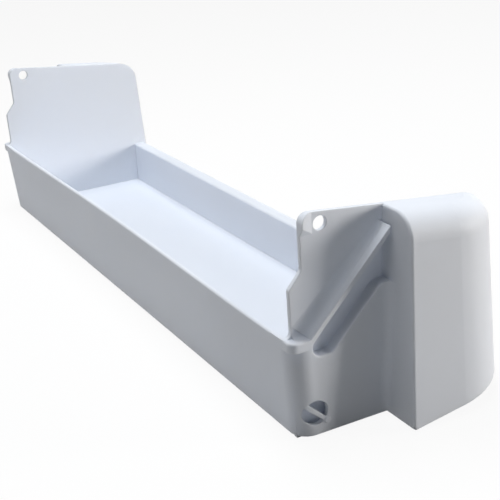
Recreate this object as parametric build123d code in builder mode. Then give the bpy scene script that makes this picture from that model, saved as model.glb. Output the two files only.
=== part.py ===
from build123d import *

import os
from math import cos, radians, sin, tan

# Fridge door shelf, injection moulded in one piece.
#
# X runs along the shelf, Y towards the room, Z up. The origin is the middle of the
# bounding box at the height of the underside. Side outlines are drawn in a plane
# whose own x runs towards the room from the foot of the back wall and whose y is
# the height, so their points read as depth and height.

# Tub
wall = 2.5
floor_thickness = 2.5
back_height = 52.0
back_lean = 3.4
rim_bow = 2.0
rim_edge_radius = 1.0
front_height = 32.5
front_edge_radius = 4.5
front_inner_radius = 1.5
underside_radius = 2.5

# Ear plates that rise from the ends of the tub
plate_draft = 1.0
ear_height = 112.0
top_slope = 6.7
ear_foot_depth = 1.3
ear_back_depth = 8.4
step_low = 75.5
step_high = 83.7
step_radius = 3.0
ear_corner_radius = 5.0
ear_foot_radius = 3.0
ear_hole_radius = 3.5
ear_hole_depth = 19.0
ear_hole_drop = 7.8
pad_thickness = 3.0
pad_length = 6.5
pad_height = 12.0
pad_ramp = 55.0

# Hollow end body behind each hood, with its diagonal channel
end_body_width = 4.6
end_lean = 3.2
end_corner_radius = 10.0
panel_margin = 6.0
lip_height = 5.0
lip_corner_radius = 4.0
channel_angle = 46.4
channel_width = 12.3
channel_bottom = 42.4
channel_start = 2.0
channel_corner_radius = 5.0
shoulder_height = 70.4
shoulder_radius = 7.0
ridge_thickness = 2.5
channel_edge_radius = 0.6
cove_top = (1.5, 2.5)
cove_bottom = (6.0, 10.0)
ledge_cove_back = (3.0, 3.0)
ledge_cove_front = (6.0, 6.0)
cove_root = 0.5

# Round window low in the end body
window_radius = 6.5
window_depth = 9.3
window_height = 13.1
web_width = 2.2
web_angle = -42.0
nub_radius = 1.6
nub_height = 0.8

# Hoods at the ends of the room side
overall_length = 500.0
overall_depth = 118.7
hood_width = 30.6
front_bar_depth = 12.74
hood_draft = 2.0
hood_back_depth = 48.7
hood_corner_radius = 37.0
hood_top_radius = 13.0
hood_back_edge_radius = 1.2
hood_bottom_slope = 8.0
hood_foot_radius = 2.0
hood_root_radius = 4.0

# Places that follow from the sizes
rim_overhang = back_height * tan(radians(back_lean))
back_level_wall = wall / cos(radians(back_lean))
back_slant = back_height / cos(radians(back_lean))
front_edge_depth = overall_depth - rim_overhang
front_edge_height = (front_edge_depth - hood_back_depth) * tan(radians(hood_bottom_slope))
front_depth = front_edge_depth + front_edge_height * tan(radians(hood_draft))
back_foot = rim_overhang - overall_depth / 2
front_foot_depth = front_depth - front_bar_depth
plate_foot = overall_length / 2 - hood_width
end_foot = plate_foot + wall + end_body_width
channel_slope = tan(radians(channel_angle))
ridge_rise = ridge_thickness / cos(radians(channel_angle))
panel_half = end_foot - end_corner_radius - panel_margin
ridge_start = channel_start + (back_height - channel_bottom - ridge_rise) / channel_slope
ridge_end = hood_back_depth + wall
ridge_end_height = back_height + (ridge_end - ridge_start) * channel_slope
plate_end = hood_back_depth + 2 * wall
top_fall = tan(radians(top_slope))
clear = 2 * rim_overhang
ear_hole_height = ear_height - ear_hole_drop
pad_bottom = ear_height - pad_height
along_x = ((1, 0), (1, 0))
upright_share = 0.9

side = Plane(origin=(0, back_foot, 0), x_dir=(0, 1, 0), z_dir=(1, 0, 0))
plan = Plane(origin=(0, back_foot, 0))


def leaning(foot, lean, hand=1):
    """Upright plane across the shelf that leans outwards, at its right or left end."""
    return Plane(
        origin=(hand * foot, back_foot, 0),
        x_dir=(0, hand, 0),
        z_dir=(hand * cos(radians(lean)), 0, -sin(radians(lean))),
    )


plate_inside = leaning(plate_foot, plate_draft)
plate_outside = leaning(plate_foot + wall, plate_draft)
end_outside = leaning(end_foot, end_lean)
end_inside = leaning(end_foot - wall, end_lean)
back_outside = Plane(
    origin=(0, back_foot, 0),
    x_dir=(1, 0, 0),
    z_dir=(0, -cos(radians(back_lean)), -sin(radians(back_lean))),
)
back_inside = back_outside.offset(-wall)
hood_back_inside = Plane(
    origin=(0, back_foot + hood_back_depth + wall / 2, 0),
    x_dir=(-1, 0, 0),
    z_dir=(0, cos(radians(hood_draft)), -sin(radians(hood_draft))),
)


def top_plane(drop):
    """Sloping plane of the plates' and hoods' top, lowered by drop."""
    return Plane(
        origin=(0, back_foot, ear_height - drop),
        x_dir=(1, 0, 0),
        z_dir=(0, sin(radians(top_slope)), cos(radians(top_slope))),
    )


def front_inside(inset):
    """Face of the front wall towards the tub, or of its hollow."""
    return Plane(
        origin=(0, back_foot + front_foot_depth + inset, 0),
        x_dir=(-1, 0, 0),
        z_dir=(0, cos(radians(hood_draft)), -sin(radians(hood_draft))),
    )


hood_bottom_plane = Plane(
    origin=(0, back_foot + hood_back_depth, 0),
    x_dir=(1, 0, 0),
    z_dir=(0, -sin(radians(hood_bottom_slope)), cos(radians(hood_bottom_slope))),
)


def fascia(back_depth, inset, height):
    """Block inside the drafted outline of the room side, from back_depth forwards."""
    half = overall_length / 2 - inset
    front = front_depth - inset
    radius = hood_corner_radius - inset
    with BuildPart() as block:
        with BuildSketch(plan):
            with BuildLine():
                FilletPolyline(
                    (half, back_depth),
                    (half, front),
                    (-half, front),
                    (-half, back_depth),
                    radius=radius,
                )
                Line((-half, back_depth), (half, back_depth))
            make_face()
        extrude(amount=height, taper=hood_draft)
    return block.part


def hood(inset):
    """Right hood as a solid block, inset for its hollow."""
    with BuildPart() as block:
        add(fascia(hood_back_depth + inset, inset, ear_height))
        split(bisect_by=top_plane(inset), keep=Keep.BOTTOM)
        split(bisect_by=Plane.YZ.offset(plate_foot - hood_corner_radius / 2), keep=Keep.TOP)
        top = block.faces().sort_by(Axis.Z)[-1]
        back = top.edges().sort_by(Axis.Y)[0]
        cut = top.edges().sort_by(Axis.X)[0]
        fillet([e for e in top.edges() if e not in (back, cut)], hood_top_radius - inset)
    return block.part


def front_wall_block(inset):
    """Bar of the front wall with its top rounded towards the room, inset for its hollow."""
    with BuildPart() as block:
        add(fascia(hood_back_depth, inset, front_height - inset))
        split(bisect_by=front_inside(inset), keep=Keep.TOP)
        for hand in (1, -1):
            split(bisect_by=leaning(plate_foot + wall - inset, plate_draft, hand), keep=Keep.BOTTOM)
        top = block.faces().sort_by(Axis.Z)[-1].edges()
        inner = top.sort_by(Axis.Y)[0]
        ends = top.sort_by(Axis.X)
        fillet([e for e in top if e not in (ends[0], ends[-1], inner)], front_edge_radius - inset)
    return block.part


def prism(start, points, radii, length):
    """Side outline extruded outwards from the plane start, its first corners rounded."""
    with BuildPart() as solid:
        with BuildSketch(start) as outline:
            with BuildLine():
                Polyline(*points, close=True)
            make_face()
            for point, radius in zip(points, radii):
                fillet(outline.vertices().sort_by_distance(point)[0], radius)
        extrude(amount=length)
    return solid.part


def channel(margin):
    """Outline of the diagonal channel, its lower side moved down by margin."""
    across = margin / cos(radians(channel_angle))
    along = channel_width / sin(radians(channel_angle))
    low_start = channel_start + along + (across - margin) / channel_slope
    low_end = low_start + (shoulder_height - channel_bottom) / channel_slope
    return [
        (channel_start, channel_bottom - margin),
        (low_start, channel_bottom - margin),
        (low_end, shoulder_height - margin),
        (plate_end, shoulder_height - margin),
        (plate_end, channel_bottom + (plate_end - channel_start) * channel_slope),
    ]


def outer_upright(block):
    """Upright edge at the right and back of a block."""
    uprights = block.edges().filter_by(lambda edge: abs(edge.tangent_at(0.5).Z) > upright_share)
    return uprights.sort_by(Axis.X)[-2:].sort_by(Axis.Y)[0]


def end_blank(corner_radius):
    """Solid end body with its back corner and lower edge rounded."""
    outline = [
        (-clear, 0),
        (-clear, back_height),
        (ridge_start, back_height),
        (ridge_end, ridge_end_height),
        (ridge_end, 0),
    ]
    outer_block = prism(side.offset(panel_half), outline, [], overall_length / 2 - panel_half)
    with BuildPart() as block:
        add(outer_block)
        split(bisect_by=end_outside, keep=Keep.BOTTOM)
        split(bisect_by=back_outside, keep=Keep.BOTTOM)
        split(bisect_by=hood_back_inside, keep=Keep.BOTTOM)
        fillet(outer_upright(block), corner_radius)
        underside = block.faces().sort_by(Axis.Z)[0].edges()
        fillet(underside.sort_by(Axis.X)[1:].sort_by(Axis.Y)[:-1], underside_radius)
    return block.part


# Ear plate with its stepped back edge, from the floor to the hood
ear_outline = [
    (ear_foot_depth, back_height),
    (ear_foot_depth, step_low),
    (ear_back_depth, step_high),
    (ear_back_depth, ear_height - ear_back_depth * top_fall),
    (plate_end, ear_height - plate_end * top_fall),
    (plate_end, front_height / 2),
    (front_foot_depth + wall / 2, front_height / 2),
    (front_foot_depth + wall / 2, 0),
    (wall / 2, 0),
    (rim_edge_radius - rim_overhang, back_height),
]
ear_radii = [ear_foot_radius, step_radius, step_radius, ear_corner_radius]
ear_slab = prism(plate_inside, ear_outline, ear_radii, wall)
with BuildPart() as ear_plate:
    add(ear_slab)
    split(bisect_by=Plane.XY, keep=Keep.TOP)

# Room inside the right end of the tub
tub_room_outline = [
    (-clear, floor_thickness),
    (-clear, ear_height),
    (overall_depth, ear_height),
    (overall_depth, floor_thickness),
]
tub_room_block = prism(side, tub_room_outline, [], overall_length / 2)
with BuildPart() as tub_room:
    add(tub_room_block)
    split(bisect_by=plate_inside, keep=Keep.BOTTOM)
    split(bisect_by=back_inside, keep=Keep.BOTTOM)

# Hollow of the end body, under the channel and open below
low = channel(wall)
hollow_outline = [
    (-clear, -floor_thickness),
    (-clear, low[0][1]),
    low[1],
    low[2],
    low[3],
    (plate_end, -floor_thickness),
]
hollow_block = prism(side.offset(panel_half), hollow_outline, [], overall_length / 2 - panel_half)
with BuildPart() as end_hollow:
    add(hollow_block)
    split(bisect_by=end_inside, keep=Keep.BOTTOM)
    split(bisect_by=back_inside, keep=Keep.BOTTOM)
    fillet(outer_upright(end_hollow), end_corner_radius - wall)
    split(bisect_by=plate_outside, keep=Keep.TOP)

# End body with its lip, channel and webbed window
blank = end_blank(end_corner_radius)
lip_blank = end_blank(lip_corner_radius)
channel_radii = [channel_corner_radius, channel_corner_radius, shoulder_radius]
channel_space = prism(plate_outside, channel(0.0), channel_radii, overall_length / 2 - plate_foot)
with BuildPart() as lip:
    add(lip_blank)
    split(bisect_by=Plane.XY.offset(back_height - lip_height), keep=Keep.TOP)
    split(bisect_by=Plane.XZ.offset(-back_foot - ridge_start), keep=Keep.TOP)
    level = lip.faces().sort_by(Axis.Z)[-1]
    fillet(level.edges().sort_by(Axis.X)[1:].sort_by(Axis.Y)[:-1], rim_edge_radius)
with BuildPart() as web:
    with BuildSketch(plate_outside):
        with Locations((window_depth, window_height)):
            Rectangle(2 * window_radius + wall, web_width, rotation=web_angle)
    extrude(amount=overall_length / 2 - plate_foot)
    add(blank, mode=Mode.INTERSECT)
with BuildPart() as end_body:
    add(blank)
    add(lip.part)
    add(tub_room.part, mode=Mode.SUBTRACT)
    rim_middle = back_inside.from_local_coords(((panel_half + plate_foot) / 2, back_slant))
    fillet(end_body.edges().sort_by_distance(rim_middle)[0], rim_edge_radius)
    add(end_hollow.part, mode=Mode.SUBTRACT)
    add(channel_space, mode=Mode.SUBTRACT)
    new_edges = end_body.edges(Select.LAST)
    rims = new_edges.filter_by(lambda edge: end_outside.to_local_coords(edge.center()).Z > -rim_edge_radius)
    fillet(rims.sort_by(Axis.Y)[:-1], channel_edge_radius)
    with BuildSketch(plate_outside):
        with Locations((window_depth, window_height)):
            Circle(window_radius)
    extrude(amount=overall_length / 2 - plate_foot, mode=Mode.SUBTRACT)
    add(web.part)

# Hood, open below, with the front part of its ear plate
hood_block = hood(0.0)
hood_core = hood(wall)
with BuildPart() as hood_hollow:
    add(hood_core)
    split(bisect_by=plate_outside, keep=Keep.TOP)
with BuildPart() as hood_shell:
    add(hood_block)
    back_edges = hood_shell.faces().sort_by(Axis.Y)[0].edges()
    fillet(back_edges.sort_by(Axis.X)[1:].sort_by(Axis.Z)[1:], hood_back_edge_radius)
    split(bisect_by=plate_inside, keep=Keep.TOP)
    split(bisect_by=hood_bottom_plane, keep=Keep.TOP)
    fillet(hood_shell.faces().sort_by(Axis.Z)[0].edges().sort_by(Axis.Y)[0], hood_foot_radius)
    add(hood_hollow.part, mode=Mode.SUBTRACT)

# Wedge-shaped pad on the outside of the plate's top back corner
pad_slab = prism(plate_outside, ear_outline, ear_radii, pad_thickness)
pad_foot = plate_outside.from_local_coords((ear_back_depth, pad_bottom))
with BuildPart() as pad:
    with BuildSketch(Plane(origin=pad_foot, x_dir=(0, 1, 0), z_dir=plate_outside.y_dir)):
        with BuildLine():
            Polyline((0, 0), (0, -pad_thickness), (pad_length, 0), close=True)
        make_face()
    extrude(amount=pad_height)
    ramp_normal = Vector(sin(radians(pad_ramp)), 0, -cos(radians(pad_ramp)))
    split(bisect_by=Plane(origin=pad_foot, z_dir=ramp_normal), keep=Keep.BOTTOM)
    add(pad_slab, mode=Mode.INTERSECT)


def cove_section(foot, height, direction, reach):
    """Concave corner outline across direction, reaching out over a ledge and up the plate."""
    out, rise = reach
    corner = plate_outside.from_local_coords((foot, height))
    with BuildSketch(Plane(origin=corner, x_dir=(1, 0, 0), z_dir=direction)) as section:
        with BuildLine():
            Polyline((0, rise), (-cove_root, rise), (-cove_root, -cove_root), (out, -cove_root), (out, 0))
            EllipticalCenterArc((out, rise), out, rise, 180, arc_size=90)
        make_face()
    return section.sketch


# Upright cove in the corner between the end body and the hood
root_sections = []
for height in (underside_radius, shoulder_height):
    corner_x = end_foot + height * tan(radians(end_lean))
    corner_y = back_foot + hood_back_depth + height * tan(radians(hood_draft))
    with BuildSketch(Plane((corner_x, corner_y, height))) as root_section:
        with BuildLine():
            Polyline(
                (hood_root_radius, 0),
                (hood_root_radius, cove_root),
                (-cove_root, cove_root),
                (-cove_root, -hood_root_radius),
                (0, -hood_root_radius),
            )
            RadiusArc((0, -hood_root_radius), (hood_root_radius, 0), hood_root_radius)
        make_face()
    root_sections.append(root_section.sketch)
with BuildPart() as root_cove:
    add(root_sections)
    loft(ruled=True)

# Nub at the lower end of the web
nub_depth = window_depth + (window_radius + nub_radius) * cos(radians(web_angle))
nub_place = window_height + (window_radius + nub_radius) * sin(radians(web_angle))
with BuildPart() as nub:
    with BuildSketch(end_outside.offset(-wall / 2)):
        with Locations((nub_depth, nub_place)):
            Circle(nub_radius)
    extrude(amount=wall / 2 + nub_height)
    fillet(nub.faces().sort_by(Axis.X)[-1].edges(), nub_height / 2)

# Coves that spread from the ridge and the lip's level top into the ear plate
up_ridge = Vector(0, -cos(radians(channel_angle)), -sin(radians(channel_angle)))
ledge_side = Vector(0, -1, 0)
ridge_sections = [
    cove_section(ridge_start, back_height, up_ridge, cove_bottom),
    cove_section(ridge_end, ridge_end_height, up_ridge, cove_top),
]
ledge_sections = [
    cove_section(ear_foot_depth, back_height, ledge_side, ledge_cove_back),
    cove_section(ridge_start, back_height, ledge_side, ledge_cove_front),
]
with BuildPart() as ridge_cove:
    add(ridge_sections)
    loft(ruled=True)
    split(bisect_by=Plane.XZ.offset(-back_foot - ear_foot_depth), keep=Keep.BOTTOM)
with BuildPart() as ledge_cove:
    add(ledge_sections)
    loft(ruled=True)

# Whole right end with its hole
with BuildPart() as right_end:
    add(ear_plate.part)
    add(end_body.part)
    add(ridge_cove.part)
    add(ledge_cove.part)
    add(hood_shell.part)
    add(pad.part)
    add(nub.part)
    add(root_cove.part)
    with BuildSketch(side.offset(plate_foot)):
        with Locations((ear_hole_depth, ear_hole_height)):
            Circle(ear_hole_radius)
    extrude(amount=hood_width, mode=Mode.SUBTRACT)

# Back wall between the end bodies, its rim bowed towards the room
with BuildPart() as back_wall:
    for height, overhang, bow in ((0, 0, 0), (back_height, rim_overhang, rim_bow)):
        with BuildSketch(Plane((0, back_foot - overhang, height))):
            with BuildLine():
                outer = Spline((-panel_half, 0), (0, bow), (panel_half, 0), tangents=along_x)
                inner = Spline(
                    (-panel_half, back_level_wall),
                    (0, back_level_wall + bow),
                    (panel_half, back_level_wall),
                    tangents=along_x,
                )
                Line(outer @ 0, inner @ 0)
                Line(outer @ 1, inner @ 1)
            make_face()
    loft(ruled=True)
    rims = back_wall.faces().sort_by(Axis.Z)[-1].edges().sort_by(Axis.X)[1:-1]
    fillet(rims, rim_edge_radius)

# Hollow front wall with its rounded top
front_bar = front_wall_block(0.0)
front_core = front_wall_block(wall)
with BuildPart() as front_low:
    with BuildSketch(Plane.XY):
        with Locations((0, back_foot + front_foot_depth + wall)):
            Rectangle(overall_length, overall_depth, align=(Align.CENTER, Align.MIN))
    extrude(amount=front_height)
    split(bisect_by=hood_bottom_plane, keep=Keep.BOTTOM)
with BuildPart() as front_wall:
    add(front_bar)
    fillet(front_wall.faces().sort_by(Axis.Z)[-1].edges().sort_by(Axis.Y)[0], front_inner_radius)
    add(front_core, mode=Mode.SUBTRACT)
    add(front_low.part, mode=Mode.SUBTRACT)

# Floor between the ear plates, with the back wall on it
with BuildPart() as tub:
    with BuildSketch(plan):
        with Locations((0, wall)):
            Rectangle(2 * plate_foot + wall, front_foot_depth - wall / 2, align=(Align.CENTER, Align.MIN))
    extrude(amount=floor_thickness)
    with BuildSketch(plan):
        Rectangle(2 * panel_half, 2 * wall, align=(Align.CENTER, Align.MIN))
    extrude(amount=floor_thickness)
    add(back_wall.part)
    lower = tub.edges().filter_by(lambda edge: abs(edge.center().Y - back_foot) < rim_edge_radius).sort_by(Axis.Z)[0]
    fillet(lower, underside_radius)

with BuildPart() as door_shelf:
    add(right_end.part)
    mirror(about=Plane.YZ)
    add(tub.part)
    add(front_wall.part)

door_shelf.part.label = "door_shelf"
os.makedirs("parts", exist_ok=True)
export_step(door_shelf.part, "parts/door_shelf.step")
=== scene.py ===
from math import cos, radians, sin

import bpy
from mathutils import Matrix, Vector

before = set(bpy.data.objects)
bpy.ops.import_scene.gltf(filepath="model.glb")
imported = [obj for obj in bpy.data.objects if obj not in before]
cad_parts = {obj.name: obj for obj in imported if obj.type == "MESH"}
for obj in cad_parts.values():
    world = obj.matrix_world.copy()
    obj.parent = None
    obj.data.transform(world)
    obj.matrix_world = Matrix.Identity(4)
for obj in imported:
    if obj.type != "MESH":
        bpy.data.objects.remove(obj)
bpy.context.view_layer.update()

# Camera: where the photograph was taken from, in metres, degrees and pixels
SENSOR_WIDTH = 36.0
FOCAL_PIXELS = 1106.591
IMAGE_SIZE = 500
CAMERA_AZIMUTH = 63.668
CAMERA_ELEVATION = 20.674
CAMERA_ROLL = -4.619
CAMERA_DISTANCE = 0.66078
CAMERA_TARGET = Vector((0.07047, 0.00308, 0.03545))
CAMERA_CLIP_START = 0.01

# Surroundings: the light they give, and how bright they look behind the part
WORLD_LEVEL = 0.02
BACKGROUND_LEVEL = 0.94

# Lamps: name, place and size in metres, power in watts, and colour
COOL_WHITE = (0.95, 0.975, 1.0)
WARM_WHITE = (1.0, 0.958, 0.906)
LAMPS = (
    ("lamp_top", (-0.12, 0.04, 0.95), 0.5, 7.1, COOL_WHITE),
    ("lamp_above_end", (0.29, -0.08, 0.8), 0.2, 1.1, COOL_WHITE),
    ("lamp_right", (0.98, 1.27, 0.3), 0.4, 16.5, WARM_WHITE),
    ("lamp_left", (-0.95, -1.2, 0.5), 0.8, 3.6, WARM_WHITE),
    ("lamp_back", (0.2, -1.5, 0.3), 0.8, 1.5, WARM_WHITE),
)

# Floor: its size and its drop below the part in metres, the share of its own glow where it
# is seen, and its grey where it throws light on the part and where it is seen
FLOOR_SIZE = 12.0
FLOOR_DROP = 0.0002
FLOOR_GLOW = 0.92
FLOOR_BOUNCE = 0.45
FLOOR_COLOR = 1.0

# Plastic: light that passes through its walls, with the depth in metres
PLASTIC_IOR = 1.5
SCATTER_WEIGHT = 0.35
SCATTER_RADIUS = (1.0, 1.0, 1.0)
SCATTER_DEPTH = 0.004

# Plastic: the two colours of its mottle, and the range of its roughness
PLASTIC_DARKER = (0.75, 0.79, 0.865, 1.0)
PLASTIC_LIGHTER = (0.78, 0.815, 0.88, 1.0)
ROUGHNESS_LOW = 0.50
ROUGHNESS_HIGH = 0.62

# Plastic: scale and detail of each noise
MOTTLE_NOISE = (18.0, 3.0)
GLOSS_NOISE = (45.0, 2.0)
GRAIN_NOISE = (2600.0, 2.0)
LINES_NOISE = (900.0, 3.0)

# Plastic: how far the polishing lines run upwards, their share of the relief beside the
# grain, the relief's strength and height, and the rounding of crisp edges in metres
LINES_STRETCH = (1.0, 1.0, 0.03)
LINES_SHARE = 0.5
RELIEF_STRENGTH = 0.2
RELIEF_HEIGHT = 0.00008
EDGE_ROUNDING = 0.0007
EDGE_SAMPLES = 6


def from_azimuth(azimuth, elevation):
    """Direction from the part to a viewer, who looks along +Y at azimuth 0."""
    a, e = radians(azimuth), radians(elevation)
    return Vector((sin(a) * cos(e), -cos(a) * cos(e), sin(e)))


def grey(level):
    """Opaque grey of that level."""
    return (level, level, level, 1.0)


def new_material(name):
    """Material with only its output node, returned with its node tree and that node."""
    material = bpy.data.materials.new(name)
    material.use_nodes = True
    tree = material.node_tree
    tree.nodes.clear()
    output = tree.nodes.new("ShaderNodeOutputMaterial")
    return material, tree, output


def noise(tree, coordinates, scale, detail):
    """Noise of that scale and detail on the given coordinates."""
    node = tree.nodes.new("ShaderNodeTexNoise")
    node.inputs["Scale"].default_value = scale
    node.inputs["Detail"].default_value = detail
    tree.links.new(coordinates, node.inputs["Vector"])
    return node.outputs["Fac"]


def color_between(tree, share, first, last):
    """Colour that goes from first to last as the share goes from 0 to 1."""
    mix = tree.nodes.new("ShaderNodeMix")
    mix.data_type = "RGBA"
    mix.inputs["A"].default_value = first
    mix.inputs["B"].default_value = last
    tree.links.new(share, mix.inputs["Factor"])
    return mix.outputs["Result"]


def plastic_relief(tree, place):
    """Normal of the fine grain and upright polishing lines, over softened crisp edges."""
    grain = noise(tree, place, *GRAIN_NOISE)
    stretch = tree.nodes.new("ShaderNodeMapping")
    stretch.inputs["Scale"].default_value = LINES_STRETCH
    tree.links.new(place, stretch.inputs["Vector"])
    lines = noise(tree, stretch.outputs["Vector"], *LINES_NOISE)
    relief = tree.nodes.new("ShaderNodeMix")
    relief.inputs["Factor"].default_value = LINES_SHARE
    tree.links.new(grain, relief.inputs["A"])
    tree.links.new(lines, relief.inputs["B"])
    bump = tree.nodes.new("ShaderNodeBump")
    bump.inputs["Strength"].default_value = RELIEF_STRENGTH
    bump.inputs["Distance"].default_value = RELIEF_HEIGHT
    tree.links.new(relief.outputs["Result"], bump.inputs["Height"])
    edges = tree.nodes.new("ShaderNodeBevel")
    edges.samples = EDGE_SAMPLES
    edges.inputs["Radius"].default_value = EDGE_ROUNDING
    tree.links.new(edges.outputs["Normal"], bump.inputs["Normal"])
    return bump.outputs["Normal"]


def moulded_plastic():
    """Satin white plastic with a faint mottle, uneven gloss and fine relief."""
    material, tree, output = new_material("white_plastic")
    shader = tree.nodes.new("ShaderNodeBsdfPrincipled")
    shader.inputs["IOR"].default_value = PLASTIC_IOR
    shader.inputs["Subsurface Weight"].default_value = SCATTER_WEIGHT
    shader.inputs["Subsurface Radius"].default_value = SCATTER_RADIUS
    shader.inputs["Subsurface Scale"].default_value = SCATTER_DEPTH
    place = tree.nodes.new("ShaderNodeTexCoord").outputs["Object"]
    mottle = noise(tree, place, *MOTTLE_NOISE)
    color = color_between(tree, mottle, PLASTIC_DARKER, PLASTIC_LIGHTER)
    tree.links.new(color, shader.inputs["Base Color"])
    gloss = noise(tree, place, *GLOSS_NOISE)
    rough = tree.nodes.new("ShaderNodeMapRange")
    rough.inputs["To Min"].default_value = ROUGHNESS_LOW
    rough.inputs["To Max"].default_value = ROUGHNESS_HIGH
    tree.links.new(gloss, rough.inputs["Value"])
    tree.links.new(rough.outputs["Result"], shader.inputs["Roughness"])
    tree.links.new(plastic_relief(tree, place), shader.inputs["Normal"])
    tree.links.new(shader.outputs["BSDF"], output.inputs["Surface"])
    return material


def seen_directly(tree):
    """1 for rays from the camera and for those that gloss or glass sends on, else 0."""
    path = tree.nodes.new("ShaderNodeLightPath")
    seen = path.outputs["Is Camera Ray"]
    for ray in ("Is Glossy Ray", "Is Transmission Ray"):
        either = tree.nodes.new("ShaderNodeMath")
        either.operation = "MAXIMUM"
        tree.links.new(seen, either.inputs[0])
        tree.links.new(path.outputs[ray], either.inputs[1])
        seen = either.outputs["Value"]
    return seen


def floor_material():
    """White floor that still takes the part's shadow."""
    material, tree, output = new_material("floor_white")
    shader = tree.nodes.new("ShaderNodeBsdfDiffuse")
    glow = tree.nodes.new("ShaderNodeEmission")
    seen = seen_directly(tree)
    pale = color_between(tree, seen, grey(FLOOR_BOUNCE), grey(FLOOR_COLOR))
    tree.links.new(pale, shader.inputs["Color"])
    share = tree.nodes.new("ShaderNodeMath")
    share.operation = "MULTIPLY"
    share.inputs[1].default_value = FLOOR_GLOW
    tree.links.new(seen, share.inputs[0])
    mix = tree.nodes.new("ShaderNodeMixShader")
    tree.links.new(share.outputs["Value"], mix.inputs["Fac"])
    tree.links.new(shader.outputs["BSDF"], mix.inputs[1])
    tree.links.new(glow.outputs["Emission"], mix.inputs[2])
    tree.links.new(mix.outputs["Shader"], output.inputs["Surface"])
    return material


def make_world():
    """Even pale surroundings, nearly white where the camera sees them."""
    world = bpy.data.worlds.new("studio")
    world.use_nodes = True
    tree = world.node_tree
    tree.nodes.clear()
    output = tree.nodes.new("ShaderNodeOutputWorld")
    background = tree.nodes.new("ShaderNodeBackground")
    background.inputs["Color"].default_value = grey(1.0)
    level = tree.nodes.new("ShaderNodeMix")
    level.inputs["A"].default_value = WORLD_LEVEL
    level.inputs["B"].default_value = BACKGROUND_LEVEL
    tree.links.new(seen_directly(tree), level.inputs["Factor"])
    tree.links.new(level.outputs["Result"], background.inputs["Strength"])
    tree.links.new(background.outputs["Background"], output.inputs["Surface"])
    bpy.context.scene.world = world


def make_camera():
    """Camera at the photograph's place, turned and rolled as it was."""
    back = from_azimuth(CAMERA_AZIMUTH, CAMERA_ELEVATION)
    level_right = Vector((cos(radians(CAMERA_AZIMUTH)), sin(radians(CAMERA_AZIMUTH)), 0.0))
    level_up = back.cross(level_right)
    roll = radians(CAMERA_ROLL)
    right = level_right * cos(roll) + level_up * sin(roll)
    up = level_up * cos(roll) - level_right * sin(roll)
    eye = CAMERA_TARGET + back * CAMERA_DISTANCE
    data = bpy.data.cameras.new("camera")
    data.sensor_width = SENSOR_WIDTH
    data.lens = FOCAL_PIXELS / IMAGE_SIZE * SENSOR_WIDTH
    data.clip_start = CAMERA_CLIP_START
    camera = bpy.data.objects.new("camera", data)
    turn = Matrix((right, up, back)).transposed().to_4x4()
    camera.matrix_world = Matrix.Translation(eye) @ turn
    bpy.context.collection.objects.link(camera)
    bpy.context.scene.camera = camera


def make_lamps():
    """Soft square lamps that face the origin."""
    for name, place, size, power, color in LAMPS:
        data = bpy.data.lights.new(name, "AREA")
        data.shape = "SQUARE"
        data.size = size
        data.energy = power
        data.color = color
        lamp = bpy.data.objects.new(name, data)
        lamp.location = place
        lamp.rotation_euler = Vector(place).to_track_quat("Z", "Y").to_euler()
        bpy.context.collection.objects.link(lamp)


def make_floor():
    """Plain floor just under the part."""
    half = FLOOR_SIZE / 2
    corners = [(-half, -half), (half, -half), (half, half), (-half, half)]
    mesh = bpy.data.meshes.new("floor")
    mesh.from_pydata([(x, y, -FLOOR_DROP) for x, y in corners], [], [(0, 1, 2, 3)])
    mesh.materials.append(floor_material())
    floor = bpy.data.objects.new("floor", mesh)
    bpy.context.collection.objects.link(floor)


bpy.context.scene.view_settings.view_transform = "Standard"
make_world()
make_lamps()
make_floor()
make_camera()

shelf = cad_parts["door_shelf"]
plastic = moulded_plastic()
for slot in shelf.material_slots:
    slot.material = plastic
